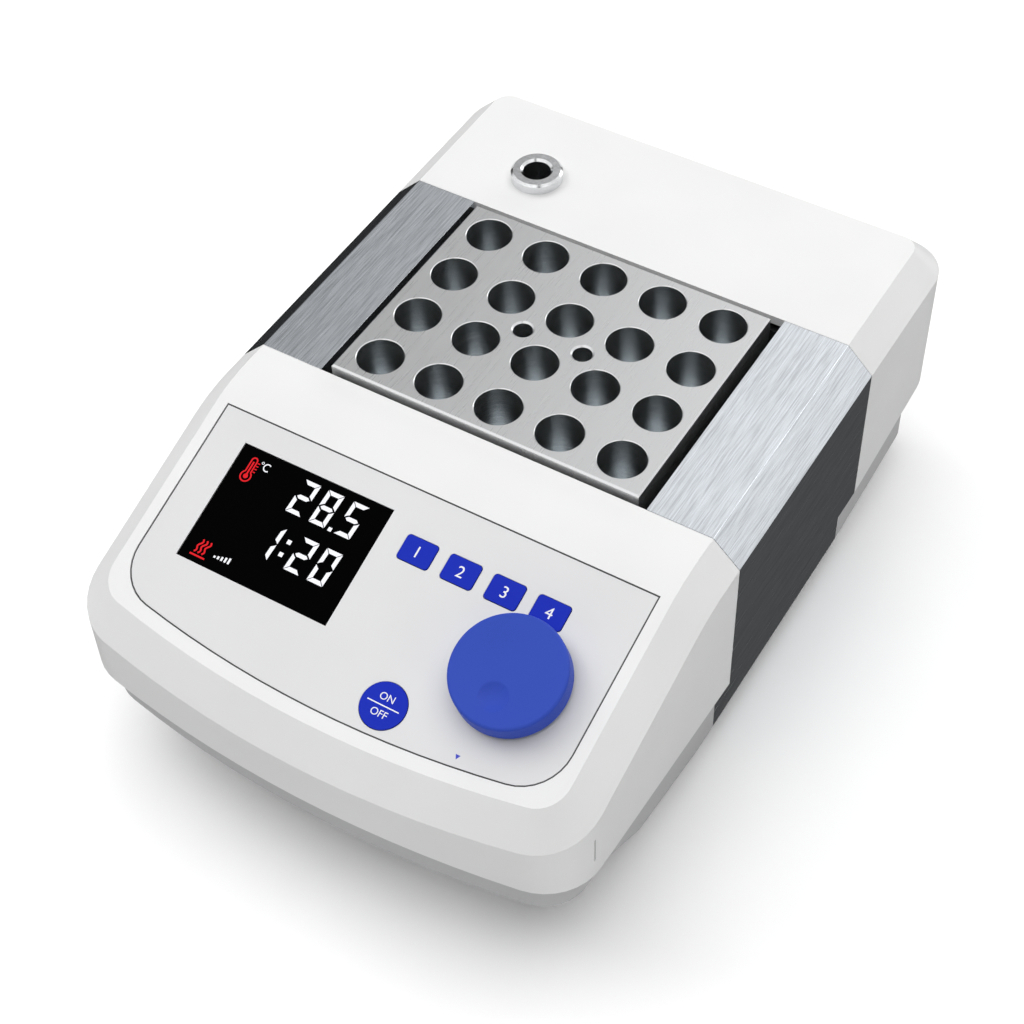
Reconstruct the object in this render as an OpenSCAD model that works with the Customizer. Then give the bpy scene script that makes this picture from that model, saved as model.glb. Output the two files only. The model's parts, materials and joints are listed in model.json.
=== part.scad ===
// Dry block heater: two plastic housings joined by brushed side plates round a
// heated bay that holds a removable tube block, with a sloping control panel.
// Millimetres, +Z up, front towards -Y, origin on the table under the middle.

/* [Body] */
// Width over the housings
body_w = 156.6; // [150:0.2:188]
// Length from the bowed front edge to the rear wall
body_l = 229.5; // [220:0.5:276]
// Height of the flat top above the table
body_h = 84; // [80:0.5:101]
// Length of the front housing, from its bowed edge to the seam
front_l = 93.5; // [90:0.5:100]
// Radius of the front edge's bow, seen from above
bow_r = 350; // [300:10:600]
// Radius of the two front corners, seen from above
front_corner_r = 17; // [14:0.5:20]
// Radius of the two rear corners, seen from above
rear_corner_r = 13; // [11:0.5:16]
// Leg of the chamfer between the top and the side walls
chamfer = 8; // [6:0.1:9]
// Width of that chamfer at the bowed front edge
front_chamfer = 7; // [6:0.1:8]
// Thickness of the housings' upright walls
wall = 3.6; // [3:0.1:4]
// Thickness of the housings' top and panel
skin = 2.8; // [2.4:0.1:3.2]
// Height of the side walls' lower edge at the seams
edge_h = 26.8; // [24:0.2:30]
// How much that edge climbs towards the front and the rear
edge_rise = 8.2; // [0:0.2:10]

/* [Control panel] */
// Slope of the panel in degrees
panel_slope = 18.9; // [14:0.1:22]
// Distance from the seam to where the panel's plane meets the top
panel_start = 16.1; // [14:0.1:18]
// Radius of the soft bend between the top and the panel
bend_r = 50; // [30:1:60]
// Distance of the overlay's side edges from the side walls
overlay_margin = 11.8; // [11:0.1:14]
// Distance of the overlay's top edge from the seam, down the slope
overlay_top = 23.3; // [22:0.1:24]
// Border between the overlay's lower edge and the front chamfer
overlay_border = 4.4; // [4:0.1:6]
// Radius of the overlay's two lower corners
overlay_corner_r = 13.5; // [10:0.5:15]
// Width of the display window
window_w = 47.7; // [44:0.1:50]
// Height of the display window, down the slope
window_h = 35.3; // [30:0.1:36]
// Width of a programme key
key_w = 9.4; // [8:0.1:9.6]
// Height of a programme key, down the slope
key_h = 7.2; // [6:0.1:8]
// Spacing of the four programme keys
key_pitch = 13.2; // [13:0.1:14]
// Diameter of the run and stop key
run_key_d = 12.7; // [10:0.1:13]
// Diameter of the dial
knob_d = 31.2; // [26:0.2:32]
// Height of the dial
knob_h = 6.2; // [5.6:0.1:8]
// Travel of every key
key_travel = 0.4; // [0.2:0.05:0.4]

/* [Tube block] */
// Tubes across the block
well_columns = 5; // [4:1:5]
// Tubes along the block
well_rows = 4; // [3:1:4]
// Spacing of the tubes, both ways
well_pitch = 19; // [18:0.1:19]
// Bore of a tube well
well_d = 13.4; // [10:0.1:16]
// Depth of a tube well
well_depth = 42; // [30:1:44]
// Height of the tube block
block_h = 50; // [46:1:60]
// How far the block stands above the flat top
block_proud = 2.3; // [1:0.1:6]
// Diameter of the two small lifting holes
lift_hole_d = 5.6; // [4:0.1:6]

/* [Rod socket] */
// Bore of the rod socket on the rear housing
socket_d = 8.4; // [6:0.1:9]
// Outer diameter of the socket's collar
socket_collar_d = 15.6; // [14:0.1:18]
// Length of the socket, collar included
socket_l = 26; // [20:1:28]

/* [Fits] */
// Gap round a sliding key, cap or drawer
slide_gap = 0.2; // [0.15:0.05:0.3]
// Gap between pieces that are screwed or laid together
seat_gap = 0.15; // [0.1:0.05:0.3]
// Radial clearance of the dial's turning shaft
turn_gap = 0.05; // [0.02:0.01:0.1]
// Clearance round a screw, per side
screw_gap = 0.1; // [0.05:0.05:0.2]
// Radial clearance of a pressed fit, such as the dial on its shaft
press_gap = 0.02; // [0.01:0.01:0.04]

/* [Hidden] */

half_w = body_w / 2;
front_y = -body_l / 2;
rear_y = body_l / 2;

// Tube block and the bay that it stands in
block_side_margin = 3.25;
block_end_margin = 2.6;
block_w = (well_columns - 1) * well_pitch + well_d + 2 * block_side_margin;
block_l = (well_rows - 1) * well_pitch + well_d + 2 * block_end_margin;
block_x_gap = 3;
block_front_gap = 1.15;
block_rear_gap = 3.15;
mid_l = block_l + block_front_gap + block_rear_gap;
seam_f = front_y + front_l;
seam_r = seam_f + mid_l;
block_y = seam_f + block_front_gap + block_l / 2;
bay_half_w = block_w / 2 + block_x_gap;
block_top = body_h + block_proud;
block_low = block_top - block_h;
block_bevel = 1;
well_bevel = 0.35;
well_cone_h = 4;
well_cone_r = 2;
lift_hole_bevel = 0.5;
lift_hole_depth = 20;

// Heating stack under the block, from the top down
plate_h = 8;
plate_margin = 0.6;
mat_h = 1.5;
plate_low = block_low - plate_h;
mat_low = plate_low - mat_h;
cutout_r = 8;
cutout_h = 5;
cutout_x = 24;
cutout_nub_h = 0.8;
cutout_low = mat_low - cutout_h - cutout_nub_h;
tray_low = 3.5;
tray_t = 2.4;
liner_t = 2;
liner_low = min(12, cutout_low - seat_gap - liner_t);
liner_lip = 0.6;
pad_low = liner_low + liner_t;
flange_h = 6;
liner_top = body_h - flange_h - seat_gap;
liner_half_w = bay_half_w + liner_t;
liner_f = seam_f - liner_lip;
liner_r = seam_r + liner_lip;
liner_post_x = bay_half_w - 8;
liner_post_in = 10;
liner_boss_h = min(3, liner_low - tray_low - tray_t - seat_gap);
liner_post_ys = [liner_f + liner_post_in, liner_r - liner_post_in];
liner_posts = [for (x = [-liner_post_x, liner_post_x], y = liner_post_ys) [x, y]];
sensor_r = 2;
sensor_z = plate_low + plate_h / 2;
sensor_l = 28;
lead_r = 0.7;
wire_gap = 0.3;
lead_x = [14, 20];
lead_z = mat_low + mat_h / 2;
lead_rise_y = liner_r + liner_t + 1.7;
lead_end_y = liner_r + liner_t + 7;

// Side plates
plate_t = 1.2;
skirt_inset = 3.9;
return_w = 8;
bend_k = tan(22.5);

// Tray
tray_top = 40;
nose_h = 21;
nose_flat = 10;
nose_knee = [43, 5.2];
nose_start = 63;
tail_rise = 6.6;
joint_h = 40;
post_r = 4.5;
screw_r = 1.5;
screw_head_r = 2.9;
screw_head_h = 2;
head_gap = 0.3;
base_screw_l = 16;
post_end = 8;
post_hole = base_screw_l - post_end + 3;
liner_screw_l = liner_low - tray_low - 1;
plate_screw_l = 5.2;
side_post_x = half_w - 16;
front_post_y = seam_f - 11;
nose_post_x = 40;
nose_post_y = front_y + 13.5;
rear_post_y = rear_y - 16;
base_posts = [[side_post_x, front_post_y], [-side_post_x, front_post_y],
    [nose_post_x, nose_post_y], [-nose_post_x, nose_post_y],
    [side_post_x, rear_post_y], [-side_post_x, rear_post_y]];
foot_r = 7;
foot_h = 4;
foot_pad_r = 9;
foot_pad_low = 3;
foot_peg_r = 2;
foot_peg_top = 7.5;
foot_x = half_w - 21;
foot_ys = [seam_f - 30, rear_y - 30];
foot_spots = [for (x = [-foot_x, foot_x], y = foot_ys) [x, y]];
plate_screw_x = half_w - skirt_inset - 5;
plate_screw_ys = [seam_f + 14, seam_r - 14];

// Panel: local x, v and h run across it, up its slope and out of its face
panel_rise = panel_start * tan(panel_slope);
inner_chamfer = chamfer + 2;
overlay_half_w = half_w - overlay_margin;
overlay_low = (front_l - front_chamfer) / cos(panel_slope) - overlay_border;
overlay_bow_r = 320;
overlay_t = 0.6;
recess = 0.75;
groove = 0.45;
window_x = -overlay_half_w + 10.8 + window_w / 2;
window_v = -(overlay_top + 7.9 + window_h / 2);
window_sunk = 0.3;
module_edge = 2.2;
first_key_x = window_x + window_w / 2 + 7.3 + key_w / 2;
key_v = -(overlay_top + 11.8 + key_h / 2);
key_xs = [for (i = [0:3]) first_key_x + i * key_pitch];
run_key_x = key_xs[1];
run_key_v = -(overlay_low - 8.5);
knob_r = knob_d / 2;
knob_x = overlay_half_w - 22.5;
knob_v = key_v - key_h / 2 - 0.5 - knob_r;
knob_low = 1.2;
knob_hollow_r = 10;
knob_hollow_h = 2;
knob_roof = 1.2;
dimple_r = 4.3;
dimple_depth = 0.7;
dimple_v = -7.4;
dimple_ball = (dimple_r * dimple_r + dimple_depth * dimple_depth) / (2 * dimple_depth);
shaft_r = 2.4;
shaft_top = knob_low + knob_h - knob_roof - 0.2;
bush_r = 3.5;
bush_proud = 2.4;
nut_h = 1.5;
cap_top = 0.1;
key_corner_r = 0.9;
key_flange = 1;
key_flange_t = 1;
key_seat = 0.05;
stem_r = 1.6;
stem_gap = 0.1;
board_top = 9.5;
board_t = 1.6;
switch_h = 3.3;
encoder_w = 12;
board_x = [-(overlay_half_w - 8.5), overlay_half_w - 2.5];
board_v = [-(overlay_low - 4.5), -(overlay_top - 0.8)];
board_bosses = [[board_x[0] + 8, board_v[1] - 3.5], [board_x[1] - 6, board_v[1] - 4.5],
    [board_x[0] + 8, board_v[0] + 8.5], [board_x[1] - 10, board_v[0] + 3.5]];
boss_r = 2.8;
board_screw_r = 1.2;
board_screw_l = 6;

// Narrow upright slit in each side wall near the front corner
slit_y = front_y + 19.5;
slit_z = body_h - 44;
slit_w = 0.7;
slit_h = 9.5;
slit_depth = 1;

// Rear wall, with the power inlet and the switch
inlet_x = half_w * 0.485;
inlet_z = 58;
inlet_w = 27;
inlet_h = 30;
inlet_flange = 2;
inlet_depth = 30;
inlet_flange_t = 1.6;
inlet_recess = 1.8;
inlet_face = rear_y - inlet_recess + inlet_flange_t;
cavity_w = 23.5;
cavity_h = 16.5;
cavity_depth = 17;
cavity_up = 5.5;
drawer_w = 20;
drawer_h = 8;
drawer_depth = 24;
drawer_down = 10.2;
drawer_t = 1.5;
fuse_r = 2.4;
fuse_gap = 0.1;
fuse_l = drawer_depth - drawer_t - 2 - 2 * fuse_gap;
rocker_x = -half_w * 0.51;
rocker_z = 57;
rocker_w = 13;
rocker_h = 19.5;
rocker_depth = 20;
rocker_pivot_r = 1.2;
rocker_pivot_l = 0.9;
frame_flange = 3;
frame_wall = 1.2;
blade_t = 2;
blade_w = 4;
blade_spots = [[-7, -2], [7, -2], [0, 2]];
blade_tail = 6;
blade_seat = 0.05;
rocker_tip = 8;
rocker_pin_y = inlet_face - 7;
vent_count = 6;
vent_pitch = 6;
vent_w = 2.4;
vent_h = 22;
vent_x = -15;

// Rod socket
socket_x = -40.3;
socket_y = seam_r + 18.3;
socket_proud = 3.3;
socket_body_r = socket_d / 2 + 1.9;
socket_bevel = 0.7;

// Power board and what it carries
pcb_x = [-56, 56];
pcb_y = [seam_r + 6, seam_r + 46];
pcb_z = 16;
pcb_t = 1.6;
pcb_post_r = 3.2;
lead_drop = 8;
ribbon_w = 20;
ribbon_t = 0.8;
ribbon_z = 8.6;
pcb_posts = [[-52, pcb_y[0] + 5], [52, pcb_y[0] + 5], [-52, pcb_y[1] - 10], [52, pcb_y[1] - 10]];

// ---- plan outlines ---------------------------------------------------------

function arc(cx, cy, r, a0, a1, n) =
    [for (i = [0:n]) let(a = a0 + (a1 - a0) * i / n) [cx + r * cos(a), cy + r * sin(a)]];

// Bowed front with its two round corners, cut off square at y_end. The sides
// are moved in by side_in and the bow by front_in.
function front_outline(side_in, front_in, y_end) =
    let(
        cx = half_w - front_corner_r,
        r = front_corner_r - side_in,
        bow = bow_r - front_in,
        bow_cy = front_y + bow_r,
        cy = bow_cy - sqrt(pow(bow - r, 2) - cx * cx),
        a = atan2(cy - bow_cy, cx))
    concat([[-half_w + side_in, y_end]],
        arc(-cx, cy, r, 180, 360 - 180 - a, 8),
        arc(0, bow_cy, bow, -180 - a, a, 14),
        arc(cx, cy, r, a, 0, 8),
        [[half_w - side_in, y_end]]);

// Square rear with round corners, cut off square at y_start
function rear_outline(inset, y_start) =
    let(
        cx = half_w - rear_corner_r,
        cy = rear_y - rear_corner_r,
        r = rear_corner_r - inset)
    concat([[half_w - inset, y_start]], arc(cx, cy, r, 0, 90, 8),
        arc(-cx, cy, r, 90, 180, 8), [[-half_w + inset, y_start]]);

// Extrudes a side view, given as [y, z] points, across the body's width
module across(points, half) {
    translate([-half, 0, 0]) rotate([90, 0, 90]) linear_extrude(2 * half) polygon(points);
}

module upright(points) {
    linear_extrude(body_h + 20) polygon(points);
}

// Lays children on the panel: x across, y up the slope, z out of the face
module on_panel() {
    translate([0, seam_f, body_h + panel_rise]) rotate([panel_slope, 0, 0]) children();
}

// Side view of the front housing's upper surface, lowered by drop
function front_roof(drop, y_end) =
    let(
        y0 = seam_f - panel_start + bend_r * tan(panel_slope / 2),
        y1 = front_y - 5,
        lean = tan(panel_slope))
    concat([[y_end, body_h - drop]],
        [for (i = [0:5]) let(a = panel_slope * i / 5)
            [y0 - bend_r * sin(a), body_h - bend_r * (1 - cos(a)) - drop]],
        [[y1, body_h + panel_rise - (seam_f - y1) * lean - drop]]);

function lower(points, drop) =
    [for (i = [len(points) - 1:-1:0]) [points[i][0], points[i][1] - drop]];

// ---- housings --------------------------------------------------------------

// Solid form of the front housing. For the outside, y_end is the seam.
module front_form(side_in, chamfer_in, front_in, drop, edge, low, y_end) {
    roof = front_roof(drop, y_end);
    eaves = front_roof(edge, y_end);
    hull() {
        intersection() {
            upright(front_outline(chamfer_in, front_in, y_end));
            across(concat(roof, lower(roof, 1)), half_w);
        }
        intersection() {
            upright(front_outline(side_in, side_in, y_end));
            across(concat(eaves, [[front_y - 5, low + edge_rise], [y_end, low]]), half_w + 1);
        }
    }
}

module rear_form(inset, chamfer_in, drop, edge, low, y_start) {
    hull() {
        intersection() {
            upright(rear_outline(chamfer_in, y_start));
            across([[y_start, body_h - drop - 1], [rear_y, body_h - drop - 1],
                [rear_y, body_h - drop], [y_start, body_h - drop]], half_w);
        }
        intersection() {
            upright(rear_outline(inset, y_start));
            across([[y_start, low], [rear_y + 5, low + edge_rise],
                [rear_y + 5, body_h - edge], [y_start, body_h - edge]], half_w + 1);
        }
    }
}

// Rib that reaches under both side plates at a seam
module seam_tongue(y0, y1) {
    out = plate_t + seat_gap;
    rib = out + 2.2;
    for (side = [0, 1]) mirror([side, 0, 0])
        translate([0, y1, 0]) rotate([90, 0, 0]) linear_extrude(y1 - y0)
            polygon([[bay_half_w + 5, body_h - out],
                [half_w - chamfer - out * bend_k, body_h - out],
                [half_w - out, body_h - chamfer - out * bend_k],
                [half_w - out, edge_h + 4],
                [half_w - rib, edge_h + 4],
                [half_w - rib, body_h - chamfer - rib * bend_k],
                [half_w - chamfer - rib * bend_k, body_h - rib],
                [bay_half_w + 5, body_h - rib]]);
}

function overlay_points(grow) =
    let(
        hw = overlay_half_w + grow,
        r = overlay_corner_r + grow,
        bow = overlay_bow_r + grow,
        cx = overlay_half_w - overlay_corner_r,
        cy = -overlay_low + overlay_bow_r - sqrt(pow(bow - r, 2) - cx * cx),
        bow_cy = -overlay_low + overlay_bow_r,
        a = atan2(cy - bow_cy, cx))
    concat([[-hw, -overlay_top + grow]],
        arc(-cx, cy, r, 180, 180 - a, 8),
        arc(0, bow_cy, bow, -180 - a, a, 14),
        arc(cx, cy, r, a, 0, 8),
        [[hw, -overlay_top + grow]]);

// Rectangle with round corners, centred, grown by grow on every side
function key_points(grow) =
    let(x = key_w / 2 - key_corner_r, y = key_h / 2 - key_corner_r, r = key_corner_r + grow)
    concat(arc(x, y, r, 0, 90, 5), arc(-x, y, r, 90, 180, 5), arc(-x, -y, r, 180, 270, 5),
        arc(x, -y, r, 270, 360, 5));

// Openings of the panel for the window, the keys and the dial
module panel_openings(low, high) {
    depth = high - low;
    translate([window_x - window_w / 2 - slide_gap, window_v - window_h / 2 - slide_gap, low])
        cube([window_w + 2 * slide_gap, window_h + 2 * slide_gap, depth]);
    for (x = key_xs)
        translate([x, key_v, low]) linear_extrude(depth) polygon(key_points(slide_gap));
    translate([run_key_x, run_key_v, low]) cylinder(r = run_key_d / 2 + slide_gap, h = depth, $fn = 64);
    translate([knob_x, knob_v, low]) cylinder(r = bush_r + seat_gap, h = depth, $fn = 48);
}

module front_housing() {
    color("whitesmoke") difference() {
        union() {
            difference() {
                front_form(0, chamfer, front_chamfer, 0, chamfer, edge_h, seam_f);
                difference() {
                    front_form(wall, inner_chamfer, front_chamfer + 2, skin, chamfer + skin,
                        edge_h - 20, seam_f + 5);
                    for (p = base_posts) if (p[1] < 0)
                        translate([p[0], p[1], joint_h]) cylinder(r = post_r, h = body_h, $fn = 40);
                    on_panel() for (b = board_bosses)
                        translate([b[0], b[1], -board_top]) cylinder(r = boss_r, h = board_top, $fn = 32);
                }
            }
            seam_tongue(seam_f - 3, seam_f + 3);
        }
        on_panel() translate([0, 0, -recess]) linear_extrude(20) polygon(overlay_points(groove));
        for (side = [-1, 1])
            translate([side * (half_w - slit_depth / 2) - 1, slit_y, slit_z]) cube([2, slit_w, slit_h]);
        on_panel() panel_openings(-skin - 3, 5);
        for (p = base_posts) if (p[1] < 0)
            translate([p[0], p[1], joint_h - 1])
                cylinder(r = screw_r + screw_gap / 2, h = post_hole, $fn = 24);
        on_panel() for (b = board_bosses)
            translate([b[0], b[1], -board_top - 1])
                cylinder(r = board_screw_r + screw_gap / 2, h = board_screw_l + 0.5, $fn = 24);
    }
}

// Cut for the rocker's frame, as large as the rocker grown by grow
module switch_cut(grow, y) {
    translate([rocker_x - rocker_w / 2 - grow, y, rocker_z - rocker_h / 2 - grow])
        cube([rocker_w + 2 * grow, 20, rocker_h + 2 * grow]);
}

module rear_housing() {
    color("whitesmoke") difference() {
        union() {
            difference() {
                rear_form(0, chamfer, 0, chamfer, edge_h, seam_r);
                difference() {
                    rear_form(wall, inner_chamfer, skin, chamfer + 1.2, edge_h - 20, seam_r - 5);
                    for (p = base_posts) if (p[1] > 0)
                        translate([p[0], p[1], joint_h]) cylinder(r = post_r, h = body_h, $fn = 40);
                }
            }
            seam_tongue(seam_r - 3, seam_r + 3);
        }
        for (p = base_posts) if (p[1] > 0)
            translate([p[0], p[1], joint_h - 1])
                cylinder(r = screw_r + screw_gap / 2, h = post_hole, $fn = 24);
        translate([socket_x, socket_y, body_h - 10]) cylinder(r = socket_body_r + seat_gap, h = 20, $fn = 48);
        translate([inlet_x - inlet_w / 2 - inlet_flange - seat_gap, rear_y - inlet_recess,
            inlet_z - inlet_h / 2 - inlet_flange - seat_gap])
            cube([inlet_w + 2 * (inlet_flange + seat_gap), 10, inlet_h + 2 * (inlet_flange + seat_gap)]);
        translate([inlet_x - inlet_w / 2 - seat_gap, rear_y - 10, inlet_z - inlet_h / 2 - seat_gap])
            cube([inlet_w + 2 * seat_gap, 20, inlet_h + 2 * seat_gap]);
        switch_cut(frame_wall + seat_gap, rear_y - 10);
        switch_cut(frame_flange + seat_gap, rear_y - inlet_recess);
        for (i = [0:vent_count - 1])
            translate([vent_x + (i - (vent_count - 1) / 2) * vent_pitch - vent_w / 2, rear_y - 10,
                inlet_z - vent_h / 2])
                cube([vent_w, 20, vent_h]);
    }
}

// Bent sheet that covers one side between the seams, from the bay's edge over
// the top, down the side, in over the skirt and back under the tray
module side_plate() {
    t = plate_t;
    skirt_x = half_w - skirt_inset;
    return_x = skirt_x - return_w;
    translate([0, seam_r - seat_gap, 0]) rotate([90, 0, 0]) linear_extrude(mid_l - 2 * seat_gap)
        polygon([[bay_half_w, body_h - flange_h], [bay_half_w, body_h], [half_w - chamfer, body_h],
            [half_w, body_h - chamfer], [half_w, edge_h], [skirt_x, edge_h], [skirt_x, tray_low],
            [return_x, tray_low], [return_x, tray_low + t], [skirt_x - t, tray_low + t],
            [skirt_x - t, edge_h + t], [half_w - t, edge_h + t],
            [half_w - t, body_h - chamfer - t * bend_k],
            [half_w - chamfer - t * bend_k, body_h - t], [bay_half_w + t, body_h - t],
            [bay_half_w + t, body_h - flange_h]]);
}

module plate_holes() {
    for (y = plate_screw_ys)
        translate([plate_screw_x, y, 0]) cylinder(r = screw_r + screw_gap, h = tray_low + 2, $fn = 24);
}

module side_plate_left() {
    color("silver") mirror([1, 0, 0]) difference() {
        side_plate();
        plate_holes();
    }
}

module side_plate_right() {
    color("silver") difference() {
        side_plate();
        plate_holes();
    }
}

// ---- tray, feet and screws -------------------------------------------------

// Side view of the tray's underside, raised by up and pulled in by back
function tray_floor(up, back) = [
    [front_y + skirt_inset - 5, nose_h + up], [seam_f - nose_start, nose_h + up],
    [seam_f - nose_knee[0] + back * 0.4, tray_low + nose_knee[1] + up], [seam_f - nose_flat, tray_low + up],
    [seam_r, tray_low + up], [rear_y + 5, tray_low + tail_rise + up]];

module tray_form(up, top) {
    across(concat(tray_floor(up, up), [[rear_y + 5, top], [front_y - 5, top]]), half_w);
}

module tray_plan(inset, top) {
    linear_extrude(top) union() {
        polygon(front_outline(inset, inset, seam_f));
        polygon(rear_outline(inset, seam_r));
        translate([-half_w + inset + plate_t + seat_gap, seam_f - 1])
            square([body_w - 2 * (inset + plate_t + seat_gap), mid_l + 2]);
    }
}

module base_tray() {
    color("gainsboro") difference() {
        union() {
            difference() {
                intersection() {
                    tray_plan(skirt_inset, tray_top);
                    tray_form(0, tray_top);
                }
                intersection() {
                    tray_plan(skirt_inset + tray_t, tray_top + 5);
                    tray_form(tray_t, tray_top + 5);
                }
            }
            intersection() {
                tray_form(0.5, body_h);
                union() {
                    for (p = base_posts)
                        translate([p[0], p[1], 0]) cylinder(r = post_r, h = joint_h, $fn = 40);
                    for (p = liner_posts)
                        translate([p[0], p[1], 0])
                            cylinder(r = post_r, h = liner_low - liner_boss_h, $fn = 40);
                    for (p = pcb_posts)
                        translate([p[0], p[1], 0]) cylinder(r = pcb_post_r, h = pcb_z, $fn = 32);
                }
            }
            for (p = foot_spots) translate([p[0], p[1], foot_pad_low])
                cylinder(r = foot_pad_r, h = foot_peg_top - foot_pad_low + 2, $fn = 48);
        }
        // Undersides of the side plates' return flanges
        for (side = [0, 1]) mirror([side, 0, 0])
            translate([half_w - skirt_inset - return_w - 1, seam_f - 0.01, -1])
                cube([return_w + 10, mid_l + 0.02, tray_low + plate_t + seat_gap + 1]);
        for (x = [-plate_screw_x, plate_screw_x], y = plate_screw_ys)
            translate([x, y, 0]) cylinder(r = screw_r + screw_gap / 2, h = 20, $fn = 24);
        for (p = foot_spots) {
            translate([p[0], p[1], -1]) cylinder(r = foot_r + seat_gap, h = foot_h + 1 + seat_gap, $fn = 48);
            translate([p[0], p[1], 0])
                cylinder(r = foot_peg_r + seat_gap, h = foot_peg_top + seat_gap, $fn = 24);
        }
        for (p = base_posts) {
            translate([p[0], p[1], -1])
                cylinder(r = screw_head_r + head_gap, h = joint_h - post_end + 1, $fn = 32);
            translate([p[0], p[1], 0]) cylinder(r = screw_r + screw_gap, h = joint_h + 1, $fn = 24);
        }
        for (p = liner_posts) {
            translate([p[0], p[1], -1])
                cylinder(r = screw_head_r + head_gap, h = tray_low + screw_head_h + 0.5, $fn = 32);
            translate([p[0], p[1], 0]) cylinder(r = screw_r + screw_gap, h = 20, $fn = 24);
        }
        // Cooling slots in the floor under the rear
        for (i = [-3:3])
            translate([i * 8 - 1.25, seam_r + 14, 0]) cube([2.5, 26, 14]);
    }
}

module rubber_feet() {
    color("dimgray") for (p = foot_spots)
        translate([p[0], p[1], 0]) rotate_extrude($fn = 48)
            polygon([[0, 0], [foot_r - 0.8, 0], [foot_r, 0.8], [foot_r, foot_h], [foot_peg_r, foot_h],
                [foot_peg_r, foot_peg_top], [0, foot_peg_top]]);
}

// Pan-head screw standing on its head, head_low at its lowest point
module screw(x, y, head_low, length, r, head_r, head_h) {
    translate([x, y, head_low]) rotate_extrude($fn = 32)
        polygon([[0, 0.8], [0.8, 0], [head_r - 0.6, 0], [head_r, 0.6], [head_r, head_h], [r, head_h],
            [r, head_h + length], [0, head_h + length]]);
}

module base_screws() {
    color("silver") for (p = base_posts)
        screw(p[0], p[1], joint_h - post_end - screw_head_h, base_screw_l, screw_r, screw_head_r,
            screw_head_h);
}

module plate_screws() {
    color("silver") for (x = [-plate_screw_x, plate_screw_x], y = plate_screw_ys)
        screw(x, y, tray_low - screw_head_h, plate_screw_l, screw_r, screw_head_r, screw_head_h);
}

module liner_screws() {
    color("silver") for (p = liner_posts)
        screw(p[0], p[1], tray_low - 0.5, liner_screw_l, screw_r, screw_head_r, screw_head_h);
}

// ---- panel pieces ----------------------------------------------------------

module panel_overlay() {
    color("whitesmoke") on_panel() difference() {
        translate([0, 0, -recess]) linear_extrude(overlay_t) polygon(overlay_points(0));
        panel_openings(-skin, 5);
    }
}

module display_window() {
    color([0.02, 0.02, 0.02]) on_panel()
        translate([window_x - window_w / 2, window_v - window_h / 2, -skin])
            cube([window_w, window_h, skin - window_sunk]);
}

module display_module() {
    depth = board_top - skin;
    color("dimgray") on_panel() difference() {
        translate([window_x - window_w / 2 - module_edge, window_v - window_h / 2 - module_edge, -board_top])
            cube([window_w + 2 * module_edge, window_h + 2 * module_edge, depth - seat_gap]);
        translate([window_x - window_w / 2, window_v - window_h / 2, -skin - 1])
            cube([window_w, window_h, 2]);
    }
}

module control_board() {
    color("darkgreen") on_panel() difference() {
        translate([board_x[0], board_v[0], -board_top - board_t])
            cube([board_x[1] - board_x[0], board_v[1] - board_v[0], board_t]);
        for (b = board_bosses)
            translate([b[0], b[1], -board_top - 5]) cylinder(r = board_screw_r + screw_gap, h = 10, $fn = 24);
    }
}

module board_screws() {
    color("silver") on_panel() for (b = board_bosses)
        screw(b[0], b[1], -board_top - board_t - 1.6, board_screw_l, board_screw_r, 2.2, 1.6);
}

// Key cap with a flange that keeps it in the panel and a stem to its switch
module programme_key(i) {
    x = key_xs[i];
    low = skin + key_flange_t;
    on_panel() translate([x, key_v, 0]) {
        translate([0, 0, -low]) linear_extrude(low + cap_top) polygon(key_points(0));
        translate([-key_w / 2 - key_flange, -key_h / 2 - key_flange, -low])
            cube([key_w + 2 * key_flange, key_h + 2 * key_flange, key_flange_t - key_seat]);
        translate([0, 0, -board_top + switch_h + key_travel + stem_gap])
            cylinder(r = stem_r, h = board_top - switch_h - key_travel - low, $fn = 32);
    }
}

module key_p1() {
    color("mediumblue") programme_key(0);
}

module key_p2() {
    color("mediumblue") programme_key(1);
}

module key_p3() {
    color("mediumblue") programme_key(2);
}

module key_p4() {
    color("mediumblue") programme_key(3);
}

module run_stop_key() {
    r = run_key_d / 2;
    low = skin + key_flange_t;
    stem_low = board_top - switch_h - key_travel - stem_gap;
    color("mediumblue") on_panel() translate([run_key_x, run_key_v, 0]) rotate_extrude($fn = 64)
        polygon([[0, -stem_low], [stem_r, -stem_low], [stem_r, -low], [r + key_flange, -low],
            [r + key_flange, -skin - key_seat], [r, -skin - key_seat], [r, cap_top], [0, cap_top]]);
}

module key_switches() {
    color("dimgray") on_panel() for (p = concat([for (x = key_xs) [x, key_v]], [[run_key_x, run_key_v]]))
        translate([p[0] - 3, p[1] - 3, -board_top]) {
            cube([6, 6, switch_h - 0.8]);
            translate([3, 3, 0]) cylinder(r = 1.7, h = switch_h, $fn = 24);
        }
}

module buzzer() {
    color("black") on_panel() translate([window_x, -(overlay_low - 9), -board_top]) difference() {
        cylinder(r = 4.5, h = 4, $fn = 40);
        translate([0, 0, 3]) cylinder(r = 0.8, h = 2, $fn = 24);
    }
}

module encoder_body() {
    color("silver") on_panel() translate([knob_x, knob_v, 0]) difference() {
        union() {
            translate([-encoder_w / 2, -encoder_w / 2, -board_top])
                cube([encoder_w, encoder_w, board_top - skin - seat_gap]);
            translate([0, 0, -board_top]) cylinder(r = bush_r, h = board_top + bush_proud, $fn = 48);
        }
        translate([0, 0, -board_top + 1]) cylinder(r = shaft_r + turn_gap, h = 20, $fn = 48);
    }
}

module encoder_shaft() {
    color("lightgray") on_panel() translate([knob_x, knob_v, 0])
        translate([0, 0, -board_top + 1.2]) cylinder(r = shaft_r, h = board_top - 1.2 + shaft_top, $fn = 48);
}

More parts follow.
